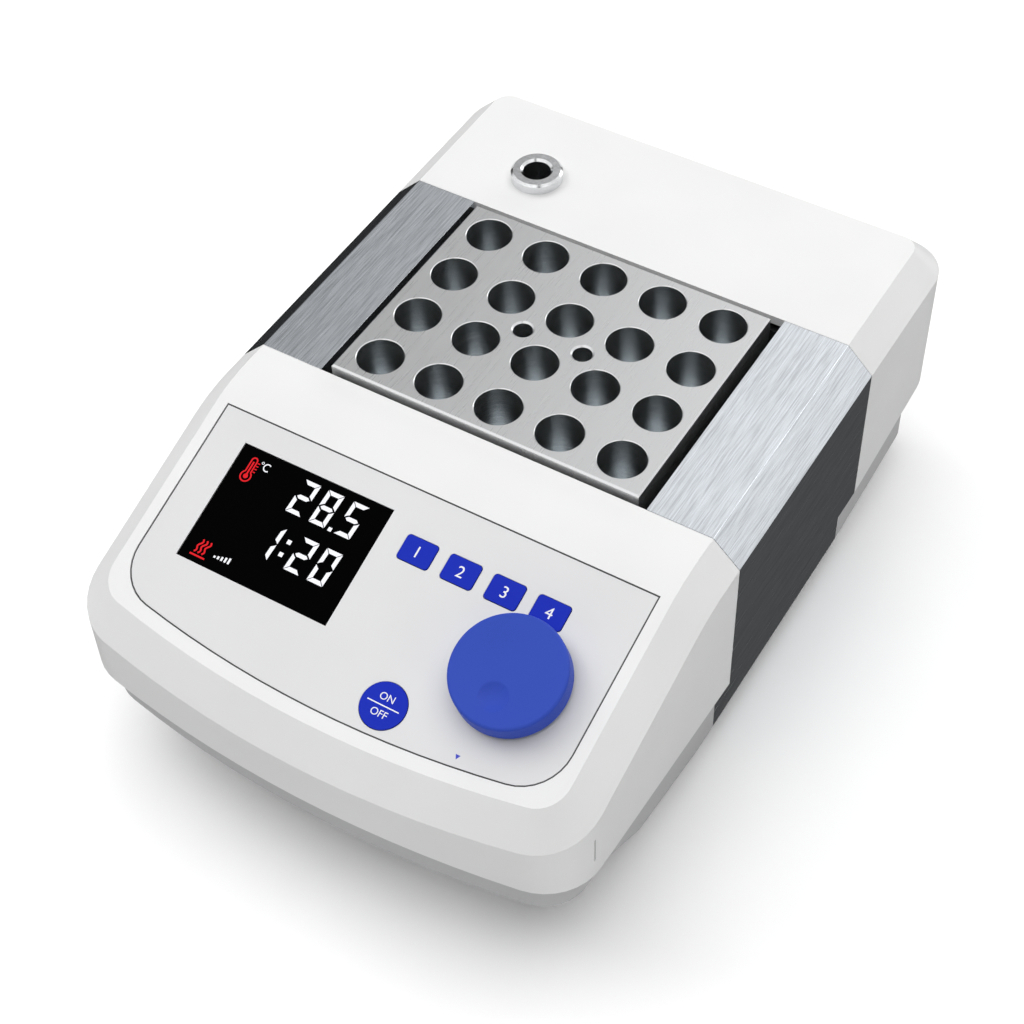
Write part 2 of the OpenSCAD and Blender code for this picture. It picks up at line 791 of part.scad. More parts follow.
module encoder_nut() {
    color("silver") on_panel() translate([knob_x, knob_v, -recess + overlay_t + 0.05]) difference() {
        union() {
            cylinder(r = bush_r + 2.5, h = 0.5, $fn = 48);
            cylinder(r = bush_r + 1.7, h = 0.5 + nut_h, $fn = 6);
        }
        translate([0, 0, -1]) cylinder(r = bush_r + screw_gap / 2, h = 5, $fn = 48);
    }
}

// Dial with a hollow underside and a finger dimple near its rim
module dial_knob() {
    top = knob_low + knob_h;
    color("royalblue") on_panel() translate([knob_x, knob_v, 0]) difference() {
        rotate_extrude($fn = 96)
            polygon(concat([[0, knob_low + knob_hollow_h], [knob_hollow_r, knob_low + knob_hollow_h],
                [knob_hollow_r, knob_low], [knob_r - 0.4, knob_low], [knob_r, knob_low + 0.4]],
                arc(knob_r - 1, top - 0.9, 0.9, 10, 90, 4), [[0, top]]));
        translate([0, 0, knob_low]) cylinder(r = shaft_r + press_gap, h = knob_h - knob_roof, $fn = 48);
        translate([0, dimple_v, top - dimple_depth + dimple_ball]) sphere(r = dimple_ball, $fn = 96);
    }
}

// ---- bay and heating -------------------------------------------------------

module bay_liner() {
    width = 2 * bay_half_w;
    color([0.12, 0.12, 0.12]) difference() {
        union() {
            translate([-liner_half_w, liner_f - liner_t, liner_low])
                cube([2 * liner_half_w, liner_r - liner_f + 2 * liner_t, liner_top - liner_low]);
            for (p = liner_posts)
                translate([p[0], p[1], liner_low - liner_boss_h])
                    cylinder(r = post_r, h = liner_boss_h, $fn = 40);
        }
        translate([-bay_half_w, liner_f, pad_low]) cube([width, liner_r - liner_f, body_h]);
        for (p = liner_posts)
            translate([p[0], p[1], liner_low - liner_boss_h - 1])
                cylinder(r = screw_r + screw_gap / 2, h = liner_boss_h + 2, $fn = 24);
        translate([0, liner_r - 1, sensor_z]) rotate([-90, 0, 0])
            cylinder(r = sensor_r + wire_gap, h = 10, $fn = 32);
        for (x = lead_x)
            translate([x, liner_r - 1, lead_z]) rotate([-90, 0, 0])
                cylinder(r = lead_r + wire_gap, h = 10, $fn = 24);
    }
}

module insulation_pad() {
    color("beige") difference() {
        translate([-bay_half_w + 1, liner_f + 1, pad_low])
            cube([2 * bay_half_w - 2, liner_r - liner_f - 2, mat_low - pad_low]);
        translate([cutout_x, block_y, mat_low - cutout_h - 1]) cylinder(r = cutout_r + 1, h = 20, $fn = 48);
    }
}

module heater_mat() {
    color("orangered") translate([-block_w / 2, block_y - block_l / 2, mat_low])
        cube([block_w, block_l, mat_h]);
}

module heater_plate() {
    color("lightgray") difference() {
        translate([-block_w / 2 - plate_margin, block_y - block_l / 2 - plate_margin, plate_low])
            cube([block_w + 2 * plate_margin, block_l + 2 * plate_margin, plate_h]);
        translate([0, block_y + block_l / 2 - 20, sensor_z]) rotate([-90, 0, 0])
            cylinder(r = sensor_r + 0.1, h = 40, $fn = 32);
    }
}

module temperature_sensor() {
    color("silver") translate([0, block_y + block_l / 2 - 19, sensor_z]) rotate([-90, 0, 0])
        cylinder(r = sensor_r, h = sensor_l, $fn = 32);
}

module thermal_cutout() {
    color("goldenrod") translate([cutout_x, block_y, mat_low - cutout_h]) {
        cylinder(r = cutout_r, h = cutout_h, $fn = 48);
        translate([0, 0, -cutout_nub_h]) cylinder(r = 4, h = cutout_nub_h + 0.2, $fn = 32);
    }
}

module tube_well() {
    low = block_top - well_depth;
    r = well_d / 2;
    rotate_extrude($fn = 64)
        polygon([[0, low], [well_cone_r, low], [r, low + well_cone_h], [r, block_top - well_bevel],
            [r + well_bevel, block_top], [r + well_bevel, block_top + 1], [0, block_top + 1]]);
}

module lift_hole() {
    r = lift_hole_d / 2;
    rotate_extrude($fn = 40)
        polygon([[0, block_top - lift_hole_depth], [r, block_top - lift_hole_depth],
            [r, block_top - lift_hole_bevel], [r + lift_hole_bevel, block_top],
            [r + lift_hole_bevel, block_top + 1], [0, block_top + 1]]);
}

// Solid bar with its top edge chamfered along both long sides
module bevelled_bar(length, width) {
    rotate([90, 0, 90]) translate([0, 0, -length / 2]) linear_extrude(length)
        polygon([[-width / 2, block_low], [width / 2, block_low], [width / 2, block_top - block_bevel],
            [width / 2 - block_bevel, block_top], [-width / 2 + block_bevel, block_top],
            [-width / 2, block_top - block_bevel]]);
}

module heating_block() {
    color("silver") translate([0, block_y, 0]) difference() {
        intersection() {
            bevelled_bar(block_w, block_l);
            rotate([0, 0, 90]) bevelled_bar(block_l, block_w);
        }
        for (i = [0:well_columns - 1], j = [0:well_rows - 1])
            translate([(i - (well_columns - 1) / 2) * well_pitch, (j - (well_rows - 1) / 2) * well_pitch, 0])
                tube_well();
        for (side = [-1, 1]) translate([side * well_pitch / 2, 0, 0]) lift_hole();
    }
}

// One stretch of lead along Y at height z, with a round end
module lead_run(x, y0, y1, z) {
    translate([x, y0, z]) rotate([-90, 0, 0]) cylinder(r = lead_r, h = y1 - y0, $fn = 24);
    translate([x, y1, z]) sphere(r = lead_r, $fn = 24);
}

// Two wires from the mat's rear edge through the liner and down to the board.
// Where the mat lies lower than the terminals, they climb in front of the board first.
module heater_leads() {
    start_y = block_y + block_l / 2;
    terminal_z = pcb_z + pcb_t + lead_drop;
    over_z = max(lead_z, terminal_z + 2 * lead_r);
    color("white") for (x = lead_x) {
        if (over_z > lead_z) {
            lead_run(x, start_y, lead_rise_y, lead_z);
            translate([x, lead_rise_y, lead_z]) cylinder(r = lead_r, h = over_z - lead_z, $fn = 24);
            translate([x, lead_rise_y, over_z]) sphere(r = lead_r, $fn = 24);
            lead_run(x, lead_rise_y, lead_end_y, over_z);
        } else lead_run(x, start_y, lead_end_y, lead_z);
        translate([x, lead_end_y, terminal_z]) cylinder(r = lead_r, h = over_z - terminal_z, $fn = 24);
    }
}

// ---- rod socket ------------------------------------------------------------

module rod_socket() {
    low = body_h + socket_proud - socket_l;
    top = body_h + socket_proud;
    r = socket_d / 2;
    collar = socket_collar_d / 2;
    color("lightgray") translate([socket_x, socket_y, 0]) rotate_extrude($fn = 64)
        polygon([[r, low + 2], [r, top - socket_bevel], [r + socket_bevel, top], [collar - socket_bevel, top],
            [collar, top - socket_bevel], [collar, body_h], [socket_body_r, body_h], [socket_body_r, low],
            [0, low], [0, low + 2]]);
}

module rod_socket_nut() {
    color("silver") translate([socket_x, socket_y, body_h - skin - seat_gap - 3]) difference() {
        cylinder(r = socket_body_r + 3.4, h = 3, $fn = 6);
        translate([0, 0, -1]) cylinder(r = socket_body_r + screw_gap / 2, h = 5, $fn = 48);
    }
}

// ---- power electronics -----------------------------------------------------

module on_pcb(x, y) {
    translate([x, y, pcb_z + pcb_t]) children();
}

module power_board() {
    color("darkgreen") translate([pcb_x[0], pcb_y[0], pcb_z])
        cube([pcb_x[1] - pcb_x[0], pcb_y[1] - pcb_y[0], pcb_t]);
}

module transformer() {
    color("goldenrod") on_pcb(-28, pcb_y[0] + 3) {
        translate([0, 4, 0]) cube([34, 24, 28]);
        translate([4, 0, 4]) cube([26, 32, 20]);
    }
}

module capacitors() {
    color("midnightblue") {
        for (y = [12, 26]) on_pcb(32, pcb_y[0] + y) cylinder(r = 5, h = 18, $fn = 40);
    }
}

module heat_sink() {
    color("gray") on_pcb(-54, pcb_y[0] + 12) {
        cube([24, 3, 24]);
        for (i = [0:4]) translate([i * 5.4, 2, 0]) cube([1.8, 10, 24]);
    }
}

module triac() {
    color("black") on_pcb(-47, pcb_y[0] + 7.4) {
        translate([0, 0, 4]) cube([10, 4.5, 15]);
        for (x = [2.4, 5, 7.6]) translate([x - 0.4, 2, 0]) cube([0.8, 0.8, 5]);
    }
}

module terminal_block() {
    color("seagreen") on_pcb(9.5, pcb_y[0] + 0.5) cube([15, 8, lead_drop - 0.2]);
}

module ribbon_cable() {
    t = ribbon_t;
    y0 = seam_f - 22;
    y1 = pcb_y[0] + 4;
    z0 = min(ribbon_z, liner_low - seat_gap - t);
    board_low = (board_top + board_t) / cos(panel_slope);
    z1 = body_h + panel_rise + (y0 - seam_f) * tan(panel_slope) - board_low - 0.1;
    color("gray") across([[y0, z0], [y1 + t, z0], [y1 + t, pcb_z - 0.1], [y1, pcb_z - 0.1], [y1, z0 + t],
        [y0 + t, z0 + t], [y0 + t, z1], [y0, z1]], ribbon_w / 2);
}

// ---- power inlet and switch ------------------------------------------------

// The three contact blades, grown by grow on every side
module inlet_blades(grow) {
    for (p = blade_spots)
        translate([inlet_x + p[0] - blade_t / 2 - grow, inlet_face - inlet_depth - blade_tail - grow,
            inlet_z + cavity_up + p[1] - blade_w / 2 - grow])
            cube([blade_t + 2 * grow, inlet_depth + 2 + 2 * grow, blade_w + 2 * grow]);
}

module power_inlet() {
    w = inlet_w;
    h = inlet_h;
    color([0.08, 0.08, 0.08]) difference() {
        translate([inlet_x, inlet_face, inlet_z]) difference() {
            union() {
                translate([-w / 2 - inlet_flange, -inlet_flange_t, -h / 2 - inlet_flange])
                    cube([w + 2 * inlet_flange, inlet_flange_t, h + 2 * inlet_flange]);
                translate([-w / 2, -inlet_depth, -h / 2]) cube([w, inlet_depth, h]);
            }
            translate([-cavity_w / 2, -cavity_depth, cavity_up - cavity_h / 2])
                cube([cavity_w, 30, cavity_h]);
            translate([-drawer_w / 2 - slide_gap, -drawer_depth - 1, -drawer_down - drawer_h / 2 - slide_gap])
                cube([drawer_w + 2 * slide_gap, 40, drawer_h + 2 * slide_gap]);
        }
        inlet_blades(blade_seat);
    }
}

module inlet_pins() {
    color("silver") inlet_blades(0);
}

module fuse_drawer() {
    color([0.1, 0.1, 0.1]) translate([inlet_x, inlet_face, inlet_z - drawer_down]) difference() {
        translate([-drawer_w / 2, -drawer_depth, -drawer_h / 2]) cube([drawer_w, drawer_depth, drawer_h]);
        translate([-drawer_w / 2 + drawer_t, -drawer_depth + drawer_t, -drawer_h / 2 + drawer_t])
            cube([drawer_w - 2 * drawer_t, fuse_l + 2 * fuse_gap, drawer_h]);
    }
}

module fuse() {
    y = inlet_face - drawer_depth + drawer_t + fuse_gap;
    color("lightgray") translate([inlet_x, y, inlet_z - drawer_down]) rotate([-90, 0, 0])
        cylinder(r = fuse_r, h = fuse_l, $fn = 32);
}

module switch_frame() {
    w = rocker_w;
    h = rocker_h;
    color([0.08, 0.08, 0.08]) translate([rocker_x, inlet_face, rocker_z]) difference() {
        union() {
            translate([-w / 2 - frame_flange, -inlet_flange_t, -h / 2 - frame_flange])
                cube([w + 2 * frame_flange, inlet_flange_t, h + 2 * frame_flange]);
            translate([-w / 2 - frame_wall, -rocker_depth, -h / 2 - frame_wall])
                cube([w + 2 * frame_wall, rocker_depth, h + 2 * frame_wall]);
        }
        translate([-w / 2, -rocker_depth + 2, -h / 2]) cube([w, 40, h]);
        translate([0, rocker_pin_y - inlet_face, 0])
            rocker_pivot(rocker_pivot_r + turn_gap, w / 2 + rocker_pivot_l + slide_gap);
    }
}

module rocker_pivot(r, half) {
    rotate([0, 90, 0]) cylinder(r = r, h = 2 * half, center = true, $fn = 40);
}

// Rocker that tips about a pin across the frame, drawn with its upper half in
module power_rocker() {
    half = rocker_h / 2 - 1.15;
    color("firebrick") translate([rocker_x, rocker_pin_y, rocker_z]) {
        rotate([90, 0, 90]) translate([0, 0, -rocker_w / 2 + slide_gap])
            linear_extrude(rocker_w - 2 * slide_gap) rotate(rocker_tip)
                polygon([[4.6, 0], [6, half], [-3, half - 2], [-6, 0], [-3, -half + 2], [6, -half]]);
        rocker_pivot(rocker_pivot_r, rocker_w / 2 + rocker_pivot_l);
    }
}

front_housing();
rear_housing();
side_plate_left();
side_plate_right();
base_tray();
rubber_feet();
panel_overlay();
display_window();
display_module();
control_board();
board_screws();
key_p1();
key_p2();
key_p3();
key_p4();
run_stop_key();
key_switches();
buzzer();
encoder_body();
encoder_shaft();
encoder_nut();
dial_knob();
bay_liner();
liner_screws();
insulation_pad();
heater_mat();
heater_plate();
temperature_sensor();
thermal_cutout();
heating_block();
heater_leads();
rod_socket();
rod_socket_nut();
power_board();
transformer();
capacitors();
heat_sink();
triac();
terminal_block();
power_inlet();
inlet_pins();
fuse_drawer();
fuse();
switch_frame();
power_rocker();
ribbon_cable();
base_screws();
plate_screws();
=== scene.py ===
"""Looks of a dry block heater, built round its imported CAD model. Lengths in the
tables below are millimetres; everything that is made is in metres."""

import json
import math

import bmesh
import bpy
from mathutils import Matrix, Vector

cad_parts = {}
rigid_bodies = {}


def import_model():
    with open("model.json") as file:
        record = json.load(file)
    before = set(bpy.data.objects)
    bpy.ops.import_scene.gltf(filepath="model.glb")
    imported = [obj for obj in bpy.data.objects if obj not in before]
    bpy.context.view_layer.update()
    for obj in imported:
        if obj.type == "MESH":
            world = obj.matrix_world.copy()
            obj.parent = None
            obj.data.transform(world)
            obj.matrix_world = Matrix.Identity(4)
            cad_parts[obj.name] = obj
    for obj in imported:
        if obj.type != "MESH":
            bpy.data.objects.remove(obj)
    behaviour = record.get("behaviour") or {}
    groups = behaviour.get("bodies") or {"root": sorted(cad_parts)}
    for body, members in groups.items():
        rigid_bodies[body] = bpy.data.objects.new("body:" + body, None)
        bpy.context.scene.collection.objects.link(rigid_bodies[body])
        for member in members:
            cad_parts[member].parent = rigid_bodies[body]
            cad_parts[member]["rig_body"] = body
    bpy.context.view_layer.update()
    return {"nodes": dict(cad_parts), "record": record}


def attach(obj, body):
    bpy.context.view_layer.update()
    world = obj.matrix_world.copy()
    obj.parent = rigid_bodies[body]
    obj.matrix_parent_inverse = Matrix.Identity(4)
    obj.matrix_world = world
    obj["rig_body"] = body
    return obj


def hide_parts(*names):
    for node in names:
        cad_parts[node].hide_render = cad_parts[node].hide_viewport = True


MM = 0.001
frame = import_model()
NODES = frame["nodes"]

# ---- places that the panel pieces share -------------------------------------

BODY_H = 84.0
SEAM_F = -21.25
PANEL_START = 16.1
PANEL_SLOPE = math.radians(18.9)
PANEL_RISE = PANEL_START * math.tan(PANEL_SLOPE)
PANEL = Matrix.Translation(Vector((0, SEAM_F, BODY_H + PANEL_RISE)) * MM) @ Matrix.Rotation(
    PANEL_SLOPE, 4, "X"
)
OVERLAY_FACE = -0.15
OVERLAY_HALF_W, OVERLAY_TOP, OVERLAY_LOW = 66.5, 23.3, 87.029
OVERLAY_CORNER_R, OVERLAY_BOW_R = 13.5, 320.0
# The third value is the thickness of the near-black sheet of painted shade in the groove round the
# overlay.
RECESS, GROOVE, GROOVE_SHADE_THICK = 0.75, 0.45, 0.35
WINDOW_FACE = -0.3
KEY_FACE = 0.1
PRINT_LIFT, LIT_THICK = 0.012, 0.02
TOP_ROW_V, LOW_ROW_V = -33.3, -47.75
BARS_X, BARS_V, BARS_WIDE, BARS_STEP = -46.0, -63.2, 0.6, 1.1
THERMOMETER = (-50.6, -39.4, -34.6, 0.85, 1.55)  # x, bulb v, top v, stem and bulb radius
SIGN_LINE, FILLED_R = 0.5, 0.72
WAVES_X, WAVES_V, WAVES_STEP, HOTPLATE_V = -51.9, -63.9, 1.25, -64.75
DIAL_MARK = ((40.2, -81.2), (41.6, -81.2), (40.9, -82.5))
RUN_BAR_HALF, RUN_BAR_LINE = 4.7, 0.32
NUMERAL_TALL, NUMERAL_DROP, WORD_TALL = 3.35, 1.65, 2.05
KEY_XS = (3.95, 17.15, 30.35, 43.55)
KEY_V = -38.7
RUN_X = 17.15
RUN_V = -78.45
DIAL_X, DIAL_V = 44.0, -58.4
DIAL_TOP = 7.4
DIMPLE_V, DIMPLE_R, DIMPLE_DEEPER = -7.4, 4.35, 1.7
SHEET_T = 1.2
BLOCK_Y, BLOCK_TOP = 17.7, 86.3
BLOCK_HALF = (47.95, 37.8)
BLOCK_BEVEL, BLOCK_EASED = 1.0, 0.5
WELL_BEVEL, WELL_EASED = 0.35, 0.22
WELL_PITCH, WELL_R, WELL_DEPTH, LIFT_R = 19.0, 6.7, 42.0, 2.8
SOCKET_X, SOCKET_Y, SOCKET_R = -40.3, 76.95, 4.2


# ---- materials ---------------------------------------------------------------


class Mat:
    """A node material in the making: short calls for the nodes used here."""

    def __init__(self, name, rough=0.4, metal=0.0, **sockets):
        self.mat = bpy.data.materials.new(name)
        self.mat.use_nodes = True
        self.nt = self.mat.node_tree
        self.bsdf = self.nt.nodes["Principled BSDF"]
        self.set("Roughness", rough)
        self.set("Metallic", metal)
        for key, value in sockets.items():
            self.set(key.replace("_", " "), value)

    def set(self, socket, value):
        if isinstance(value, (tuple, list)) and len(value) == 3:
            value = (*value, 1.0)
        self.bsdf.inputs[socket].default_value = value

    def node(self, kind, **props):
        made = self.nt.nodes.new(kind)
        for key, value in props.items():
            setattr(made, key, value)
        return made

    def link(self, a, b):
        self.nt.links.new(a, b)

    def coords(self, scale=(1, 1, 1)):
        """Object coordinates in metres, stretched."""
        place = self.node("ShaderNodeTexCoord").outputs["Object"]
        stretch = self.node("ShaderNodeMapping")
        stretch.inputs["Scale"].default_value = scale
        self.link(place, stretch.inputs["Vector"])
        return stretch.outputs["Vector"]

    def noise(self, scale, vector=None, detail=3.0, rough=0.55):
        made = self.node("ShaderNodeTexNoise")
        made.inputs["Scale"].default_value = scale
        made.inputs["Detail"].default_value = detail
        made.inputs["Roughness"].default_value = rough
        self.link(vector or self.coords(), made.inputs["Vector"])
        return made.outputs["Fac"]

    def ramp(self, fac, stops):
        """A colour ramp from (position, colour) stops; a number is a grey."""
        made = self.node("ShaderNodeValToRGB")
        elements = made.color_ramp.elements
        while len(elements) < len(stops):
            elements.new(0.5)
        for element, (place, colour) in zip(elements, stops):
            element.position = place
            if not isinstance(colour, tuple):
                colour = (colour, colour, colour)
            element.color = (*colour, 1.0)
        self.link(fac, made.inputs["Fac"])
        return made.outputs["Color"]

    def mix(self, fac, a, b):
        """Mixes two colours, given as sockets or as values."""
        made = self.node("ShaderNodeMix", data_type="RGBA")
        for socket, value in ((made.inputs[0], fac), (made.inputs[6], a), (made.inputs[7], b)):
            if isinstance(value, bpy.types.NodeSocket):
                self.link(value, socket)
            elif isinstance(value, tuple):
                socket.default_value = (*value, 1.0)
            else:
                socket.default_value = value
        return made.outputs[2]

    def math(self, operation, a, b=0.0):
        made = self.node("ShaderNodeMath", operation=operation)
        for socket, value in ((made.inputs[0], a), (made.inputs[1], b)):
            if isinstance(value, bpy.types.NodeSocket):
                self.link(value, socket)
            else:
                socket.default_value = value
        return made.outputs[0]

    def axes(self):
        """Object coordinates as three separate values."""
        parts = self.node("ShaderNodeSeparateXYZ")
        self.link(self.coords(), parts.inputs[0])
        return parts.outputs

    def wrap(self, value, half):
        """Folds a coordinate into one cell that runs from -half to half."""
        made = self.node("ShaderNodeMath", operation="WRAP")
        self.link(value, made.inputs[0])
        made.inputs[1].default_value = half
        made.inputs[2].default_value = -half
        return made.outputs[0]

    def length(self, a, b):
        return self.math(
            "SQRT", self.math("ADD", self.math("MULTIPLY", a, a), self.math("MULTIPLY", b, b))
        )

    def bump(self, height, strength, distance):
        made = self.node("ShaderNodeBump")
        made.inputs["Strength"].default_value = strength
        made.inputs["Distance"].default_value = distance
        self.link(height, made.inputs["Height"])
        self.link(made.outputs["Normal"], self.bsdf.inputs["Normal"])

    def colour(self, socket):
        self.link(socket, self.bsdf.inputs["Base Color"])

    def roughness(self, socket):
        self.link(socket, self.bsdf.inputs["Roughness"])


def shade(colour, factor):
    return tuple(min(1.0, c * factor) for c in colour)


def moulded(name, colour, rough, grain=2600.0, spread=0.02, bump=0.06, **sockets):
    """Moulded plastic: faint cloudy tone, fine spark-eroded grain."""
    m = Mat(name, rough, **sockets)
    cloud = m.noise(26.0, detail=2.0)
    m.colour(m.ramp(cloud, [(0.3, shade(colour, 1 - spread)), (0.7, shade(colour, 1 + spread))]))
    fine = m.noise(grain, detail=2.0)
    m.roughness(m.ramp(fine, [(0.25, rough * 0.85), (0.75, min(1.0, rough * 1.15))]))
    m.bump(fine, bump, 0.00003)
    return m.mat


def brushed(name, colour):
    """Sheet steel brushed along Y: long fine streaks in tone, gloss and height."""
    m = Mat(name, 0.28, 1.0)
    long = m.noise(1.0, m.coords((1500, 36, 1500)), detail=2.0, rough=0.75)
    short = m.noise(1.0, m.coords((3400, 130, 3400)), detail=2.0, rough=0.6)
    broad = m.noise(1.0, m.coords((300, 30, 300)), detail=2.0)
    streak = m.math("ADD", m.math("MULTIPLY", long, 0.5), m.math("MULTIPLY", short, 0.5))
    tone = m.ramp(streak, [(0.37, shade(colour, 0.78)), (0.5, colour), (0.63, shade(colour, 1.16))])
    m.colour(m.mix(m.ramp(broad, [(0.4, 0.0), (0.65, 0.08)]), tone, shade(colour, 1.1)))
    m.roughness(m.ramp(streak, [(0.3, 0.22), (0.7, 0.28)]))
    m.bump(streak, 0.06, 0.00003)
    return m.mat


def bored_block(name, colour, bore_colour):
    """Milled block: fine lines on its outside, drilled walls in its holes."""
    m = Mat(name, 0.3, 1.0)
    fine = m.noise(1.0, m.coords((2600, 90, 2600)), detail=3.0)
    cloud = m.noise(22.0, detail=2.0)
    tone = m.mix(0.5, fine, cloud)
    face = m.ramp(tone, [(0.35, shade(colour, 0.98)), (0.65, shade(colour, 1.02))])
    turned = m.noise(1.0, m.coords((60, 60, 5200)), detail=3.0)
    bore = m.ramp(turned, [(0.3, shade(bore_colour, 0.9)), (0.7, shade(bore_colour, 1.1))])
    x, y, z = m.axes()
    across = m.math("SUBTRACT", y, BLOCK_Y * MM)
    half = WELL_PITCH / 2 * MM
    from_well = m.length(m.wrap(x, half), m.wrap(m.math("ADD", across, half), half))
    from_lift = m.length(m.math("SUBTRACT", m.math("ABSOLUTE", x), half), across)
    below = m.math(
        "MULTIPLY", m.math("LESS_THAN", z, (BLOCK_TOP - 0.1) * MM),
        m.math("GREATER_THAN", z, (BLOCK_TOP - WELL_DEPTH - 1) * MM),
    )
    wells = m.math("MULTIPLY", below, m.math("LESS_THAN", from_well, (WELL_R + 0.03) * MM))
    lifts = m.math("MULTIPLY", below, m.math("LESS_THAN", from_lift, (LIFT_R + 0.06) * MM))
    holes = m.math("MAXIMUM", wells, lifts)
    m.colour(m.mix(holes, face, bore))
    m.roughness(m.mix(
        holes, m.ramp(fine, [(0.3, 0.26), (0.7, 0.36)]), m.ramp(turned, [(0.3, 0.18), (0.7, 0.25)])
    ))
    m.bump(m.mix(holes, fine, turned), 0.08, 0.00002)
    return m.mat


def polished_socket(name, colour):
    """Turned and polished collar with a duller reamed bore."""
    m = Mat(name, 0.16, 1.0)
    turned = m.noise(1.0, m.coords((900, 900, 3600)), detail=3.0)
    x, y, z = m.axes()
    apart = m.length(m.math("SUBTRACT", x, SOCKET_X * MM), m.math("SUBTRACT", y, SOCKET_Y * MM))
    bore = m.math("LESS_THAN", apart, (SOCKET_R + 0.05) * MM)
    m.colour(m.ramp(turned, [(0.35, shade(colour, 0.94)), (0.65, shade(colour, 1.06))]))
    m.roughness(m.mix(
        bore, m.ramp(turned, [(0.3, 0.12), (0.7, 0.18)]), m.ramp(turned, [(0.3, 0.15), (0.7, 0.21)])
    ))
    m.bump(turned, 0.05, 0.00002)
    return m.mat


def machined(name, colour, rough=0.3, lines=(2400, 60, 2400), depth=0.12, spread=0.06):
    """Milled or turned metal: very fine lines and a cloudy tone."""
    m = Mat(name, rough, 1.0)
    fine = m.noise(1.0, m.coords(lines), detail=3.0)
    cloud = m.noise(30.0, detail=2.0)
    tone = m.mix(0.5, fine, cloud)
    m.colour(m.ramp(tone, [(0.35, shade(colour, 1 - spread)), (0.65, shade(colour, 1 + spread))]))
    m.roughness(m.ramp(fine, [(0.3, rough * 0.85), (0.7, rough * 1.2)]))
    m.bump(fine, depth, 0.00002)
    return m.mat


def glow(name, colour, strength):
    """A lit segment: emission over a dark base, with a faint cell pattern."""
    m = Mat(name, 0.5, Specular_IOR_Level=0.03)
    m.set("Emission Strength", strength)
    cell = m.noise(5200.0, detail=1.0)
    m.colour(m.ramp(cell, [(0.3, 0.004), (0.7, 0.006)]))
    m.roughness(m.ramp(cell, [(0.3, 0.46), (0.7, 0.54)]))
    m.bump(cell, 0.02, 0.00001)
    m.link(
        m.ramp(cell, [(0.3, shade(colour, 0.96)), (0.7, colour)]), m.bsdf.inputs["Emission Color"]
    )
    return m.mat


def striped(name, colour, rough, lines, depth=0.3, distance=0.00006, spread=0.12):
    """Wound, fibrous or ribbed stuff: tone and height follow stretched noise."""
    m = Mat(name, rough)
    fibre = m.noise(1.0, m.coords(lines), detail=4.0, rough=0.6)
    cloud = m.noise(45.0, detail=2.0)
    tone = m.ramp(fibre, [(0.3, shade(colour, 1 - spread)), (0.7, shade(colour, 1 + spread))])
    m.colour(m.mix(m.ramp(cloud, [(0.35, 0.0), (0.7, 0.3)]), tone, shade(colour, 0.88)))
    m.roughness(m.ramp(fibre, [(0.3, rough * 0.85), (0.7, min(1.0, rough * 1.15))]))
    m.bump(fibre, depth, distance)
    return m.mat


WHITE = moulded("white_plastic", (0.74, 0.74, 0.74), 0.38, Coat_Weight=0.12, Coat_Roughness=0.3)
TRAY = moulded("tray_plastic", (0.46, 0.46, 0.465), 0.5)
FILM = moulded("overlay_film", (0.645, 0.645, 0.65), 0.55, grain=4200.0, bump=0.1)
# Near-black sheet in the groove round the overlay: painted shade standing in for the groove's
# shadow.
GROOVE_SHADE = moulded("overlay_seal", (0.05, 0.05, 0.052), 0.7, grain=2600.0, spread=0.1, bump=0.15)
RUBBER = moulded("foot_rubber", (0.03, 0.03, 0.03), 0.8, grain=1500.0, spread=0.15, bump=0.3)
LENS = moulded(
    "display_lens", (0.0006, 0.0006, 0.0007), 0.3, grain=900.0, bump=0.01,
    Specular_IOR_Level=0.008,
)
BLACK = moulded("black_plastic", (0.022, 0.022, 0.023), 0.45, grain=1900.0, spread=0.1, bump=0.2)
LINER = moulded("liner_plastic", (0.03, 0.031, 0.032), 0.55, grain=1600.0, spread=0.1, bump=0.2)
KEY_BLUE = moulded(
    "key_blue", (0.0045, 0.0205, 0.41), 0.5, grain=3600.0, spread=0.04, bump=0.08,
    Specular_IOR_Level=0.1,
)
DIAL_BLUE = moulded(
    "dial_blue", (0.027, 0.064, 0.41), 0.5, grain=2400.0, spread=0.03, bump=0.1,
    Specular_IOR_Level=0.12,
)
PRINT = moulded("key_print", (0.78, 0.78, 0.80), 0.5, grain=3600.0, bump=0.02)
MARK = moulded("panel_mark", (0.03, 0.045, 0.45), 0.55, grain=3600.0, bump=0.02)
PLATE = brushed("brushed_plate", (0.695, 0.73, 0.77))
BLOCK = bored_block("block_aluminium", (0.70, 0.705, 0.71), (0.86, 0.885, 0.9))
SCREW = machined("screw_steel", (0.66, 0.66, 0.67), 0.3, lines=(1200, 1200, 1200))
LIT_WHITE = glow("lit_white", (0.95, 0.96, 1.0), 1.05)
LIT_RED = glow("lit_red", (0.83, 0.012, 0.02), 1.0)

